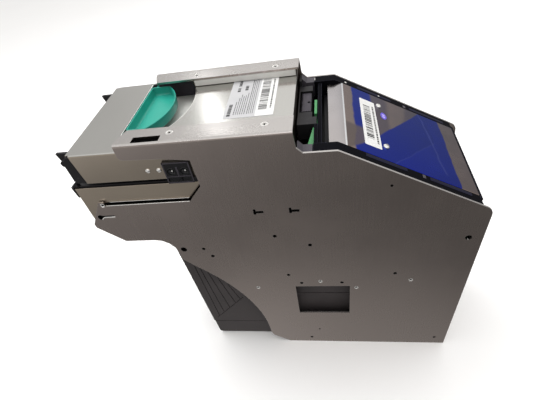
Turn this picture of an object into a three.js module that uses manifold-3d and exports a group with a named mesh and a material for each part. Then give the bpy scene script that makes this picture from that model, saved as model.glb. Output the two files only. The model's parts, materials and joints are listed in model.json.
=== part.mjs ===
// Bill validator: a sheet steel chassis with a sliding note head, a sliding note cassette
// and a hinged hatch over the note path.
// Millimetres, +Z up. X runs along the chassis, Y across it from the front plate to the rear plate.
// Parts are drawn from the front lower corner line of the chassis; the group moves them to the origin.
import * as THREE from 'three';
import { mergeVertices } from 'three/addons/utils/BufferGeometryUtils.js';
import Module from 'manifold-3d';

const wasm = await Module();
wasm.setup();

// ---------------------------------------------------------------- driving dimensions
const WIDTH = 140;
const TOP = 339.6;
const RIGHT = 321.8;
const LEFT = -68;
const SHEET = 2;
const THIN_SHEET = 1.2;
const GAP = 0.3;
const INNER_FRONT = SHEET + GAP;
const INNER_REAR = WIDTH - INNER_FRONT;

const FLANGE_WIDTH = 24;
const FLANGE_START = -2.5;
const FLANGE_END = 153;
const DECK = 318.2;
const INCLINE_START = 187.9;
const INCLINE = THREE.MathUtils.degToRad(28.65);

const PLATE_SCREWS = [[165.2, 142.1], [205.8, 129.4], [90.5, 131.2], [263.9, 142.9], [-44.4, 273.6]];
const FLANGE_SCREWS = [[46, 15.3], [129.3, 15.2]];

const HEAD = {
  left: -48, lowerLeft: -65, right: 151, front: 3, rear: 137, top: 331, split: 299.5, bottom: 247,
};
const HEAD_NOSE = HEAD.left - 7;
const LOWER_COVER_TOP = 294;
const PATH = { low: 295.6, high: 300.2 };
const PATH_MIDDLE = (PATH.low + PATH.high) / 2;
const RECESS = { left: -9.2, near: 26, far: 134, floor: 314, cx: -40, cy: 85.3, r: 89.1 };
const TUB_WALL = 1.6;
const HANDLE = {
  left: -6.3, near: 36, far: 121.6, top: 333, floor: 323.2,
  cx: -33.7, cy: 79, r: 64.1, taper: 0.9, wall: 1.7,
};
const HANDLE_AXIS = { x: -4.3, z: 328, r: 1.2 };
const SOCKET = { xs: [41, 53.4], z: 308.5, r: 4.2 };

const CASSETTE = {
  topLeft: 2.5, bottomLeft: 8.5, right: 281, front: 12, rear: 128,
  bottom: 2.4, seam: 33.8, seamGap: 1.5, top: 218, wall: 2.5,
};
const SLOT = { x0: 269.3, x1: 275.2 };
const PLATE_REST = { z0: 184, z1: 187 };

const ROLLER_YS = [30, 57, 83, 110];
const ROLLER_WIDTH = 10;
const DRIVE_R = 12;
const IDLE_R = 8;
const NIP = 0.3;
const SHAFT_R = 3;
const BORE_R = SHAFT_R + GAP + 0.1;
const HEAD_SHAFT_XS = [-28, 100];
const HEAD_MOTOR = { x: 36, z: 266 };
const BED_SHAFT_S = 60;
const BED_PATH_N = -20.3;
const BED_MOTOR = { x: 184, z: 250 };
const MOTOR_PULLEY_R = 4;
const SHAFT_PULLEY_R = 5;
const BELT = { y0: 9, y1: 13, thick: 1.2 };

const HATCH = {
  left: 167.6, railWidth: 11.5, depth: 16, pivotS: 140, pivotN: -6, endS: 146,
  flapLeft: 180.6, flapZ: 314, sheet: 0.9,
};
const LEVER_AXIS = { x: 169.3, z: 301.5 };

// ---------------------------------------------------------------- materials
const coat = (color, roughness, metalness) => (
  new THREE.MeshStandardMaterial({ color, roughness, metalness }));
const plateSteel = () => coat(0x7a7470, 0.45, 0.8);
const oliveSteel = () => coat(0x6e695b, 0.4, 0.8);
const brightSteel = () => coat(0xc9c5c1, 0.3, 0.9);
const blackPlastic = () => coat(0x262527, 0.5, 0);
const greyPlastic = () => coat(0x55514f, 0.55, 0);
const handleGreen = () => coat(0x2f9c86, 0.45, 0);
const leverGreen = () => coat(0x4fa35a, 0.45, 0);
const boardGreen = () => coat(0x1d5a36, 0.5, 0);
const rubber = () => coat(0x1b1b1c, 0.85, 0);
const blueSteel = () => coat(0x27306f, 0.15, 0.8);

// ---------------------------------------------------------------- solids
function solid(geometry) {
  const bare = geometry.index ? geometry.toNonIndexed() : geometry.clone();
  bare.deleteAttribute('normal');
  bare.deleteAttribute('uv');
  const merged = mergeVertices(bare, 1e-4);
  return new wasm.Manifold(new wasm.Mesh({
    numProp: 3,
    vertProperties: new Float32Array(merged.attributes.position.array),
    triVerts: new Uint32Array(merged.index.array),
  }));
}

function join(...parts) {
  return parts.reduce((whole, part) => whole.add(part));
}

function cut(body, ...tools) {
  return tools.reduce((whole, tool) => whole.subtract(tool), body);
}

function box(x0, x1, y0, y1, z0, z1) {
  const geometry = new THREE.BoxGeometry(x1 - x0, y1 - y0, z1 - z0);
  geometry.translate((x0 + x1) / 2, (y0 + y1) / 2, (z0 + z1) / 2);
  return solid(geometry);
}

function shapeOf(points) {
  return new THREE.Shape(points.map(([u, v]) => new THREE.Vector2(u, v)));
}

function extruded(points, depth, basis) {
  const geometry = new THREE.ExtrudeGeometry(shapeOf(points), { depth, bevelEnabled: false, steps: 1 });
  geometry.applyMatrix4(basis);
  return solid(geometry);
}

// Outline in (x, z), swept across the chassis from y0 to y1.
function across(points, y0, y1) {
  const basis = new THREE.Matrix4().makeRotationX(Math.PI / 2);
  basis.premultiply(new THREE.Matrix4().makeTranslation(0, y1, 0));
  return extruded(points, y1 - y0, basis);
}

// Outline in (y, z), swept along the chassis from x0 to x1.
function along(points, x0, x1) {
  const basis = new THREE.Matrix4().makeBasis(
    new THREE.Vector3(0, 1, 0), new THREE.Vector3(0, 0, 1), new THREE.Vector3(1, 0, 0));
  basis.premultiply(new THREE.Matrix4().makeTranslation(x0, 0, 0));
  return extruded(points, x1 - x0, basis);
}

// Outline in (x, y), swept upward from z0 to z1.
function upright(points, z0, z1) {
  return extruded(points, z1 - z0, new THREE.Matrix4().makeTranslation(0, 0, z0));
}

// Outline in (x, y) at two heights, joined by sloping walls.
function tapered(lowPoints, zLow, highPoints, zHigh) {
  const count = lowPoints.length;
  const caps = THREE.ShapeUtils.triangulateShape(lowPoints.map(([u, v]) => new THREE.Vector2(u, v)), []);
  const faces = [];
  for (const [a, b, c] of caps) faces.push(c, b, a, a + count, b + count, c + count);
  for (let i = 0; i < count; i += 1) {
    const next = (i + 1) % count;
    faces.push(i, next, next + count, i, next + count, i + count);
  }
  const geometry = new THREE.BufferGeometry();
  const corners = [
    ...lowPoints.map(([u, v]) => [u, v, zLow]),
    ...highPoints.map(([u, v]) => [u, v, zHigh]),
  ];
  geometry.setAttribute('position', new THREE.Float32BufferAttribute(corners.flat(), 3));
  geometry.setIndex(faces);
  return solid(geometry);
}

// Rod or cone across the chassis, radius r at y0 and endR at y1.
function rodAcross(x, z, r, y0, y1, segments = 16, endR = r) {
  const geometry = new THREE.CylinderGeometry(endR, r, y1 - y0, segments);
  geometry.translate(x, (y0 + y1) / 2, z);
  return solid(geometry);
}

// Upright rod or cone, radius r at z0 and endR at z1.
function rodUp(x, y, r, z0, z1, segments = 16, endR = r) {
  const geometry = new THREE.CylinderGeometry(endR, r, z1 - z0, segments);
  geometry.rotateX(Math.PI / 2);
  geometry.translate(x, y, (z0 + z1) / 2);
  return solid(geometry);
}

// Corner list [u, v, radius]: corners with a radius become arcs.
function rounded(corners, steps = 4) {
  const outline = [];
  corners.forEach(([u, v, radius = 0], i) => {
    if (!radius) {
      outline.push([u, v]);
      return;
    }
    const at = new THREE.Vector2(u, v);
    const before = corners[(i + corners.length - 1) % corners.length];
    const after = corners[(i + 1) % corners.length];
    const inward = new THREE.Vector2(before[0] - u, before[1] - v).normalize();
    const outward = new THREE.Vector2(after[0] - u, after[1] - v).normalize();
    const half = Math.acos(THREE.MathUtils.clamp(inward.dot(outward), -1, 1)) / 2;
    const centre = inward.clone().add(outward).normalize().multiplyScalar(radius / Math.sin(half)).add(at);
    const start = inward.clone().multiplyScalar(radius / Math.tan(half)).add(at).sub(centre);
    const end = outward.clone().multiplyScalar(radius / Math.tan(half)).add(at).sub(centre);
    const from = start.angle();
    let turn = end.angle() - from;
    if (turn > Math.PI) turn -= 2 * Math.PI;
    if (turn < -Math.PI) turn += 2 * Math.PI;
    for (let step = 0; step <= steps; step += 1) {
      const angle = from + (turn * step) / steps;
      outline.push([centre.x + radius * Math.cos(angle), centre.y + radius * Math.sin(angle)]);
    }
  });
  return outline;
}

function arc(cx, cy, r, fromDegrees, toDegrees, steps) {
  return Array.from({ length: steps + 1 }, (unused, i) => {
    const angle = THREE.MathUtils.degToRad(fromDegrees + ((toDegrees - fromDegrees) * i) / steps);
    return [cx + r * Math.cos(angle), cy + r * Math.sin(angle)];
  });
}

// Point at distance s down the incline and n above its surface.
function slope(s, n) {
  return [
    INCLINE_START + s * Math.cos(INCLINE) + n * Math.sin(INCLINE),
    DECK - s * Math.sin(INCLINE) + n * Math.cos(INCLINE),
  ];
}

function mirrored(body) {
  return body.mirror([0, 1, 0]).translate([0, WIDTH, 0]);
}

const group = new THREE.Group();
group.position.set(-(LEFT + RIGHT) / 2, -WIDTH / 2, 0);

function place(name, body, material) {
  const cell = body.getMesh();
  const geometry = new THREE.BufferGeometry();
  geometry.setAttribute('position', new THREE.BufferAttribute(new Float32Array(cell.vertProperties), 3));
  geometry.setIndex(new THREE.BufferAttribute(new Uint32Array(cell.triVerts), 1));
  geometry.computeVertexNormals();
  const mesh = new THREE.Mesh(geometry, material);
  mesh.name = name;
  group.add(mesh);
}

// ---------------------------------------------------------------- chassis
function plateOutline() {
  return [
    ...rounded([
      [FLANGE_START, 337, 0], [FLANGE_START, 324.5, 4], [36, 323.2, 0], [62.5, 319.5, 0], [63.4, 290.4, 0],
      [48, 273.2, 0], [-41.4, 272.6, 1], [-42.4, 277.4, 1], [-47.4, 277.4, 2], [-66.6, 248.5, 0],
      [-66.6, 243.3, 0], [-42.4, 221, 0], [12, 220.6, 21], [12.2, 188, 5], [26.5, 172.6, 0],
    ]),
    ...arc(-105.5, 26.3, 197, 46, 6, 10),
    ...rounded([
      [91.6, 24, 0], [94, 16, 5], [115.6, 0, 0], [RIGHT, 0, 0], [RIGHT, 245, 10],
      [INCLINE_START, DECK, 5], [159.5, 318.4, 0], [154.4, 323.6, 0], [FLANGE_END, 337, 0],
    ]),
  ];
}

function plateHoles() {
  const round = [
    [122.8, 220.6, 2.2], [157.6, 205.5, 2.2], [42.1, 204.2, 2], [49.3, 191.9, 2.2], [129.8, 155.3, 2],
    [143.5, 139.6, 2], [189.5, 139.7, 2], [246.2, 155.4, 2], [159, 33.7, 1.4], [147.1, 11.4, 2.2],
    [308.2, 15.5, 2], [308.5, 209.5, 3.2], [232.6, 278.9, 1.4], [19.2, 204.2, 3.6],
  ];
  const tools = round.map(([x, z, r]) => rodAcross(x, z, r, -1, SHEET + 1, 12));
  for (const x of [111.6, 146.2]) {
    tools.push(join(
      box(x - 4.5, x + 5, -1, SHEET + 1, 253.5, 256.5),
      box(x - 5, x - 2.4, -1, SHEET + 1, 252, 259)));
  }
  for (const [x, z] of PLATE_SCREWS) {
    tools.push(rodAcross(x, z, 3, -0.4, 1.1, 16, 1.5), rodAcross(x, z, 1.5, 1, SHEET + 1, 16));
  }
  tools.push(box(135.6, 198.4, -1, SHEET + 1, 75.2, 132.8));
  tools.push(join(
    rodAcross(-54, 257.6, 3.5, -1, SHEET + 1, 16),
    box(-53, -38, -1, SHEET + 1, 256.6, 260)));
  return tools;
}

// The latched plate has the slot for the cabinet's latch hook in its flange.
function sidePlate(latched) {
  const wall = across(plateOutline(), 0, SHEET);
  const bend = rounded([
    [0, 330, 0], [0, TOP, 2.5], [FLANGE_WIDTH, TOP, 0], [FLANGE_WIDTH, TOP - SHEET, 0],
    [SHEET, TOP - SHEET, 0.6], [SHEET, 330, 0],
  ], 3);
  const flange = along(bend, FLANGE_START, FLANGE_END);
  const left = FLANGE_START;
  const corner = upright([
    [left - 2, 3], [left, 3], [left + 1, 10], [left + 6, 25], [left - 2, 25]], 328, 342);
  const slot = box(14, 39.6, 2.4, 11, 336, 342);
  const screws = FLANGE_SCREWS.map(([x, y]) => join(
    rodUp(x, y, 2.1, 330, TOP - 1.7, 16), rodUp(x, y, 2.1, TOP - 1.8, TOP + 0.4, 16, 4.3)));
  const plate = cut(join(wall, flange), corner, ...screws, ...plateHoles());
  return latched ? cut(plate, slot) : plate;
}

function chassis() {
  place('side_plate_front', sidePlate(true), plateSteel());
  place('side_plate_rear', mirrored(sidePlate(false)), plateSteel());

  place('base_plate', join(
    box(117, 318.8, INNER_FRONT, INNER_REAR, 0, SHEET),
    box(316.8, 318.8, INNER_FRONT + 4, INNER_REAR - 4, 0, 12)), plateSteel());
  place('rear_panel', cut(
    box(319.2, 321.2, INNER_FRONT, INNER_REAR, 0, 234),
    box(318, 323, 48, 92, 30, 60),
    box(318, 323, 30, 110, 120, 126),
    box(318, 323, 30, 110, 134, 140)), plateSteel());

  const shelf = across([
    [150.5, 243], [-63.5, 243], [-64.5, 242], [-42.8, 221.6], [-8, 221.6], [-8, 223.6], [-42, 223.6],
    [-60.8, 241], [150.5, 241]], INNER_FRONT, INNER_REAR);
  const shelfOpenings = [box(10, 60, 30, 110, 240, 244), box(80, 130, 30, 110, 240, 244)];
  place('head_shelf', cut(shelf, ...shelfOpenings), oliveSteel());
  const rail = box(-58, 148, 5, 13, 243.3, 246.7);
  place('head_rail_front', rail, blackPlastic());
  place('head_rail_rear', mirrored(rail), blackPlastic());

  const cassetteRail = join(
    across([[84, 150], [270, 150], [270, 138], [212, 138], [212, 124], [201, 124], [201, 138], [97, 138],
      [97, 124], [84, 124]], INNER_FRONT, INNER_FRONT + SHEET),
    box(84, 270, INNER_FRONT, 11.6, 148, 150));
  place('cassette_rail_front', cassetteRail, oliveSteel());
  place('cassette_rail_rear', mirrored(cassetteRail), oliveSteel());
}

// ---------------------------------------------------------------- shafts, pulleys and belts
function rollerShaft(x, z, rollerR, y0, y1, pulley) {
  const parts = [rodAcross(x, z, SHAFT_R, y0, y1, 12)];
  for (const y of ROLLER_YS) {
    parts.push(rodAcross(x, z, rollerR, y - ROLLER_WIDTH / 2, y + ROLLER_WIDTH / 2, 20));
  }
  if (pulley) parts.push(rodAcross(x, z, SHAFT_PULLEY_R, BELT.y0, BELT.y1, 16));
  return join(...parts);
}

function motorPulley({ x, z }) {
  return join(
    rodAcross(x, z, MOTOR_PULLEY_R, BELT.y0, BELT.y1, 16),
    rodAcross(x, z, 1.5, BELT.y1 - 1, BELT.y1 + 0.6, 8));
}

// Convex loop round a set of circles [x, z, r], grown by a margin.
function loopOutline(circles, margin) {
  const points = [];
  circles.forEach(([x, z, r]) => {
    for (let i = 0; i < 24; i += 1) {
      const angle = (i / 24) * 2 * Math.PI;
      points.push([x + (r + margin) * Math.cos(angle), z + (r + margin) * Math.sin(angle)]);
    }
  });
  points.sort((a, b) => a[0] - b[0] || a[1] - b[1]);
  const turn = (o, a, b) => (a[0] - o[0]) * (b[1] - o[1]) - (a[1] - o[1]) * (b[0] - o[0]);
  const chain = (list) => {
    const hull = [];
    for (const point of list) {
      while (hull.length > 1 && turn(hull[hull.length - 2], hull[hull.length - 1], point) <= 1e-6) {
        hull.pop();
      }
      hull.push(point);
    }
    return hull.slice(0, -1);
  };
  return [...chain(points), ...chain([...points].reverse())];
}

function belt(circles) {
  const inner = across(loopOutline(circles, GAP + 0.15), BELT.y0 - 1, BELT.y1 + 1);
  const outer = across(loopOutline(circles, GAP + 0.15 + BELT.thick), BELT.y0, BELT.y1);
  return cut(outer, inner);
}

function motor({ x, z }, bodyR, length) {
  const y0 = BELT.y1 + 2;
  return join(
    rodAcross(x, z, bodyR, y0, y0 + length, 20),
    rodAcross(x, z, 5, y0 - 1, y0 + 1, 12),
    rodAcross(x, z, 3, y0 + length - 1, y0 + length + 3, 10));
}

// ---------------------------------------------------------------- note head
function recessOutline(grow) {
  const r = RECESS.r + grow;
  const near = RECESS.near - grow;
  const far = RECESS.far + grow;
  const a = THREE.MathUtils.radToDeg(Math.asin((near - RECESS.cy) / r));
  const b = THREE.MathUtils.radToDeg(Math.asin((far - RECESS.cy) / r));
  return [
    [RECESS.left - grow, far], [RECESS.left - grow, near],
    ...arc(RECESS.cx, RECESS.cy, r, a, b, 14),
  ];
}

function handleOutline(shrink, taper) {
  const r = HANDLE.r - shrink - taper;
  const near = HANDLE.near + shrink + taper / 3;
  const far = HANDLE.far - shrink - taper / 3;
  const a = THREE.MathUtils.radToDeg(Math.asin((near - HANDLE.cy) / r));
  const b = THREE.MathUtils.radToDeg(Math.asin((far - HANDLE.cy) / r));
  return [
    [HANDLE.left + shrink, far], [HANDLE.left + shrink, near],
    ...arc(HANDLE.cx, HANDLE.cy, r, a, b, 12),
  ];
}

function headCovers() {
  const { left, right, front, rear, top, split, bottom, lowerLeft } = HEAD;
  const t = THIN_SHEET;
  const hood = (inset, low, corner) => rounded([
    [front + inset, low, 0], [front + inset, top - inset, corner],
    [rear - inset, top - inset, corner], [rear - inset, low, 0],
  ], 3);
  const skin = along(hood(0, split, 1.6), HEAD_NOSE, right);
  const room = along(hood(t, split - 1, 0.6), HEAD_NOSE - 1, right - t);
  const sideEnd = across([
    [HEAD_NOSE - 1, split - 1], [left, split - 1], [left - 3.5, top - 1.6],
    [left - 3.5, top + 1], [HEAD_NOSE - 1, top + 1],
  ], 0, front + 2);
  const opening = upright(recessOutline(0), top - 4, top + 4);
  place('head_cover', cut(skin, room, sideEnd, mirrored(sideEnd), opening), brightSteel());

  const lowerSkin = box(lowerLeft, right, front, rear, bottom, LOWER_COVER_TOP);
  const lowerRoom = box(lowerLeft + t, right - t, front + t, rear - t, bottom + t, PATH.low + 2);
  const vents = [0, 1, 2, 3].map((i) => box(right - 3, right + 1, 34 + 18 * i, 44 + 18 * i, 262, 280));
  place('head_lower_cover', cut(lowerSkin, lowerRoom, ...vents), oliveSteel());
}

function headRecess() {
  const rim = HEAD.top - THIN_SHEET - GAP;
  const across0 = RECESS.near - 4;
  const across1 = RECESS.far + 4;
  const tub = cut(
    upright(recessOutline(TUB_WALL), RECESS.floor - TUB_WALL, rim),
    upright(recessOutline(0), RECESS.floor, rim + 2),
    rodAcross(HANDLE_AXIS.x, HANDLE_AXIS.z, HANDLE_AXIS.r + GAP, across0, across1, 12));
  place('recess_tub', tub, greyPlastic());

  const { wall, taper, floor, top } = HANDLE;
  const cup = cut(
    tapered(handleOutline(0, taper), floor, handleOutline(0, 0), top),
    tapered(handleOutline(wall, taper), floor + wall, handleOutline(wall, -1), top + 2));
  const trunnion = (y0, y1) => rodAcross(HANDLE_AXIS.x, HANDLE_AXIS.z, HANDLE_AXIS.r, y0, y1, 12);
  const trunnions = [
    trunnion(RECESS.near - 1.2, HANDLE.near + 1), trunnion(HANDLE.far - 1, RECESS.far + 1.2)];
  place('handle', join(cup, ...trunnions), handleGreen());
}

function headGuides() {
  const x0 = HEAD.left + 1.2;
  const x1 = HEAD.right - 2;
  const windows = (low, high, reach) => HEAD_SHAFT_XS.flatMap((x) => ROLLER_YS.map((y) => box(
    x - reach, x + reach, y - ROLLER_WIDTH / 2 - 1, y + ROLLER_WIDTH / 2 + 1, low, high)));

  const upperZ = PATH_MIDDLE + NIP / 2 + IDLE_R;
  const upper = join(
    box(x0, x1, 5, 135, PATH.high, PATH.high + 3),
    box(x0, x1, 5, 8, PATH.high, 310), box(x0, x1, 132, 135, PATH.high, 310),
    box(x1 - 3, x1, 5, 135, PATH.high, 326));
  const upperWindows = windows(PATH.high - 1, PATH.high + 4, 9);
  const upperBores = HEAD_SHAFT_XS.map((x) => rodAcross(x, upperZ, BORE_R, 4, 136, 12));
  place('upper_guide', cut(upper, ...upperWindows, ...upperBores), blackPlastic());

  const lowerZ = PATH_MIDDLE - NIP / 2 - DRIVE_R;
  const lower = join(
    box(HEAD.lowerLeft + 3, x1, 5, 135, PATH.low - 2.7, PATH.low),
    box(x0, x1, 5, 8, 278, PATH.low), box(x0, x1, 132, 135, 278, PATH.low));
  const lowerWindows = windows(PATH.low - 4, PATH.low + 1, 11.5);
  const lowerBores = HEAD_SHAFT_XS.map((x) => rodAcross(x, lowerZ, BORE_R, 4, 136, 12));
  place('lower_guide', cut(lower, ...lowerWindows, ...lowerBores), blackPlastic());

  ['left', 'right'].forEach((side, i) => {
    const x = HEAD_SHAFT_XS[i];
    place(`idle_shaft_${side}`, rollerShaft(x, upperZ, IDLE_R, 5.5, 134.5, false), rubber());
    place(`feed_shaft_${side}`, rollerShaft(x, lowerZ, DRIVE_R, 5.5, 134.5, true), rubber());
  });
  place('head_motor', motor(HEAD_MOTOR, 12, 52), greyPlastic());
  place('head_motor_pulley', motorPulley(HEAD_MOTOR), brightSteel());
  const pulleys = HEAD_SHAFT_XS.map((x) => [x, lowerZ, SHAFT_PULLEY_R]);
  place('head_belt', belt([...pulleys, [HEAD_MOTOR.x, HEAD_MOTOR.z, MOTOR_PULLEY_R]]), rubber());
  place('sensor_board', box(60, 144, 12, 128, 317, 318.6), boardGreen());
  place('head_board', join(
    box(-52, 140, 10, 130, 249.6, 251.2),
    box(92, 128, 80, 120, 251, 255),
    box(-30, 0, 84, 120, 251, 256)), boardGreen());
}

function headBezels() {
  const { left, top, front, rear } = HEAD;
  const under = top - THIN_SHEET - GAP;
  const nose = HEAD_NOSE - GAP;
  const ear = (y) => across([
    [-66.5, top], [nose, top], [nose, under], [-52, under], [-52, 325], [-64.5, 322.6]], y, y + 3);
  const cheek = join(
    across([[-60, 303], [-57.5, 300.4], [-53, 300.4], [-53, under], [-60, 325]], front, front + 5),
    rodAcross(-59.4, 323.2, 3, front, front + 5, 12));
  const upper = join(
    across([[-55.5, 300.4], [left - 0.8, 300.4], [left - 4, under], [-55.5, under]], front, rear),
    ear(8.6), ear(118.4), cheek, mirrored(cheek));
  place('bezel_upper', upper, blackPlastic());

  const edge = HEAD.lowerLeft - GAP;
  const lip = across([[LEFT, 295.2], [-66.8, 283], [edge, 283], [edge, 295.4]], 3, 137);
  const lipCheek = across([
    [LEFT, 296.2], [LEFT + 1.4, 294], [edge, 294], [edge, 295.9], [-59.9, 295.9], [-59.9, 300.2],
    [-61, 301.2]], 3, 8);
  place('bezel_lower', join(lip, lipCheek, mirrored(lipCheek)), blackPlastic());
}

function sideBlock() {
  const { xs, z, r } = SOCKET;
  const body = cut(
    join(box(34.6, 59.8, 0.4, 2.7, 295.6, 318.3), box(59, 62.4, 0.8, 2.7, 296, 300.5)),
    ...xs.map((x) => rodAcross(x, z, r, -1, 1.6, 16)),
    box(36, 44, -1, 1.4, 297.6, 301.6),
    box(49, 58.6, -1, 1.4, 297.6, 301.6));
  const pins = xs.map((x) => rodAcross(x, z, 2, 1.2, 2.2, 12));
  const block = join(body, ...pins);
  place('side_block_front', block, blackPlastic());
  place('side_block_rear', mirrored(block), blackPlastic());
}

// ---------------------------------------------------------------- transport under the hatch
function transport() {
  const top = PATH.low;
  const low = 222;
  const bedN = -22.6;
  const skin = [[152.4, low], [268.8, low], slope(93, bedN - 4), slope(89, bedN), slope(8, bedN),
    [slope(0, bedN)[0] - 3, top], [152.4, top]];
  const room = [
    [155.4, low - 1], [265.8, low - 1], slope(88, bedN - 6), slope(84, bedN - 2.8),
    slope(7, bedN - 2.8), [slope(0, bedN)[0] - 4.4, top - 2.8], [155.4, top - 2.8]];
  const [shaftX, shaftZ] = slope(BED_SHAFT_S, BED_PATH_N - NIP / 2 - DRIVE_R);
  const windows = ROLLER_YS.map((y) => across([
    slope(BED_SHAFT_S - 12, bedN + 2), slope(BED_SHAFT_S + 12, bedN + 2), slope(BED_SHAFT_S + 12, bedN - 5),
    slope(BED_SHAFT_S - 12, bedN - 5)], y - ROLLER_WIDTH / 2 - 1, y + ROLLER_WIDTH / 2 + 1));
  const bore = rodAcross(shaftX, shaftZ, BORE_R, 2, 138, 12);
  const bed = cut(across(skin, 4, 136), across(room, 7, 133), ...windows, bore);
  place('transport_bed', bed, blackPlastic());
  place('transport_shaft', rollerShaft(shaftX, shaftZ, DRIVE_R, 4.5, 135.5, true), rubber());
  place('transport_motor', motor(BED_MOTOR, 13, 50), greyPlastic());
  place('transport_pulley', motorPulley(BED_MOTOR), brightSteel());
  const pulleys = [[shaftX, shaftZ, SHAFT_PULLEY_R], [BED_MOTOR.x, BED_MOTOR.z, MOTOR_PULLEY_R]];
  place('transport_belt', belt(pulleys), rubber());

  const turnGuide = across([
    [275.2, 222], [275.2, 236], ...arc(264, 231, 22, 40, 72, 4),
    [274, 255.5], [296, 241.5], [296, 222]], 16, 124);
  place('turn_guide', turnGuide, blackPlastic());

  place('inlet_guide', cut(
    join(box(152.4, 166, 58.3, 122, 300.6, 316.4), box(152.4, 154.6, 122, 137, 300.6, 322)),
    box(154.4, 165.4, 70, 109, 312, 318)), blackPlastic());
  place('guide_pad', box(154.8, 165, 70.4, 108.6, 312.3, 315.6), greyPlastic());
  place('bridge_block', join(
    box(152.4, 170.2, 45.5, 58, 311, 317.6),
    box(152.4, 165, 45.5, 58, 302, 312)), blackPlastic());
  const endBlock = across([
    [154.8, 301], [167.2, 301], [167.2, 317.9], [159.4, 317.9], [154.8, 322.6]], INNER_FRONT, 13.6);
  place('end_block_front', endBlock, greyPlastic());
  place('end_block_rear', mirrored(endBlock), greyPlastic());
}

function releaseLever() {
  const blade = along([
    [15.2, 303.4], [18, 303.4], [18, 299.6], [24, 299.6], [24, 303.4], [88, 303.4],
    [88, 299.6], [94, 299.6], [94, 309], [92, 309], [92, 316], [66, 316],
    [66, 309.4], [44, 309.4], [44, 315.5], [15.2, 315.5]], 168, 170.4);
  const tab = upright([[168.6, 15.8], [168.6, 43.4], [167, 43.4], [162.6, 15.8]], 309.8, 315.1);
  const bore = rodAcross(LEVER_AXIS.x, LEVER_AXIS.z, 0.9, 10, 100, 10);
  place('release_lever', cut(join(blade, tab), bore), leverGreen());
  place('lever_pin', rodAcross(LEVER_AXIS.x, LEVER_AXIS.z, 0.55, 15.4, 96, 8), brightSteel());
}

// ---------------------------------------------------------------- hatch
function hatch() {
  const { left, railWidth, depth, pivotS, pivotN, endS, flapLeft, flapZ, sheet } = HATCH;
  const [pivotX, pivotZ] = slope(pivotS, pivotN);
  const railTop = DECK - 0.1;
  const rail = across(rounded([
    [left, railTop, 0], [INCLINE_START, railTop, 4], [...slope(endS, -0.1), 5], [...slope(endS, -12), 5],
    [...slope(pivotS - 8, -depth), 4], [INCLINE_START - 4.5, DECK - depth, 4], [left, DECK - depth, 0],
  ], 3), INNER_FRONT, INNER_FRONT + railWidth);
  const beam = box(left + 3.6, left + 7.2, 10, 130, DECK - depth, DECK - 2.2);
  const foot = across([
    slope(endS - 9, -1.4), slope(endS - 3.6, -1.4), slope(endS - 3.6, 0), slope(endS - 1.4, 0),
    slope(endS - 1.4, -6), slope(endS - 9, -6)], 10, 130);
  const [pinchX, pinchZ] = slope(BED_SHAFT_S, BED_PATH_N + NIP / 2 + IDLE_R);
  const pivotBore = rodAcross(pivotX, pivotZ, 2.9, 0, WIDTH, 12);
  const pinchBore = rodAcross(pinchX, pinchZ, BORE_R, 0, WIDTH, 12);
  const frame = cut(join(rail, mirrored(rail), beam, foot), pivotBore, pinchBore);
  place('hatch_frame', frame, blackPlastic());
  const innerFront = INNER_FRONT + railWidth + GAP;
  place('lever_shade', box(left + 0.4, left + 3.8, innerFront, 44, DECK - 1.9, railTop), blackPlastic());

  const flapX = INCLINE_START + (DECK - flapZ) / Math.tan(INCLINE);
  const cover = across([
    [flapLeft, flapZ], [flapX, flapZ], slope(endS - 4, 0), slope(endS - 4, -sheet),
    [flapX - 0.25, flapZ - sheet], [flapLeft, flapZ - sheet]], innerFront, WIDTH - innerFront);
  place('hatch_cover', cover, blueSteel());

  const guideN = -18;
  const guide = across([
    [177, 301], [INCLINE_START - 5.4, 301], slope(3, guideN), slope(92, guideN), slope(100, guideN + 6),
    slope(98, guideN + 7.6), slope(91, guideN + 2.2), slope(3.4, guideN + 2.2),
    [INCLINE_START - 4.8, 303.2], [177, 303.2],
  ], 16, 124);
  const windows = ROLLER_YS.map((y) => across([
    slope(BED_SHAFT_S - 9.5, guideN - 2), slope(BED_SHAFT_S + 9.5, guideN - 2),
    slope(BED_SHAFT_S + 9.5, guideN + 5), slope(BED_SHAFT_S - 9.5, guideN + 5),
  ], y - ROLLER_WIDTH / 2 - 1, y + ROLLER_WIDTH / 2 + 1));
  place('hatch_guide', cut(guide, ...windows), blackPlastic());
  place('hatch_shaft', rollerShaft(pinchX, pinchZ, IDLE_R, 4, 136, false), rubber());
  place('hatch_pivot_pin', rodAcross(pivotX, pivotZ, 2.4, INNER_FRONT, INNER_REAR, 12), brightSteel());
}

// ---------------------------------------------------------------- note cassette
function cassetteSide(z) {
  const share = (z - CASSETTE.bottom) / (CASSETTE.top - CASSETTE.bottom);
  return CASSETTE.bottomLeft + (CASSETTE.topLeft - CASSETTE.bottomLeft) * share;
}

// Narrow grip groove between two points of the side face, 1.2 deep.
function groove([xa, za], [xb, zb], width) {
  const angle = Math.atan2(zb - za, xb - xa);
  const du = (width / 2) * Math.sin(angle);
  const dv = (width / 2) * Math.cos(angle);
  return across([[xa - du, za + dv], [xa + du, za - dv], [xb + du, zb - dv], [xb - du, zb + dv]],
    CASSETTE.front - 1, CASSETTE.front + 1.2);
}

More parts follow.
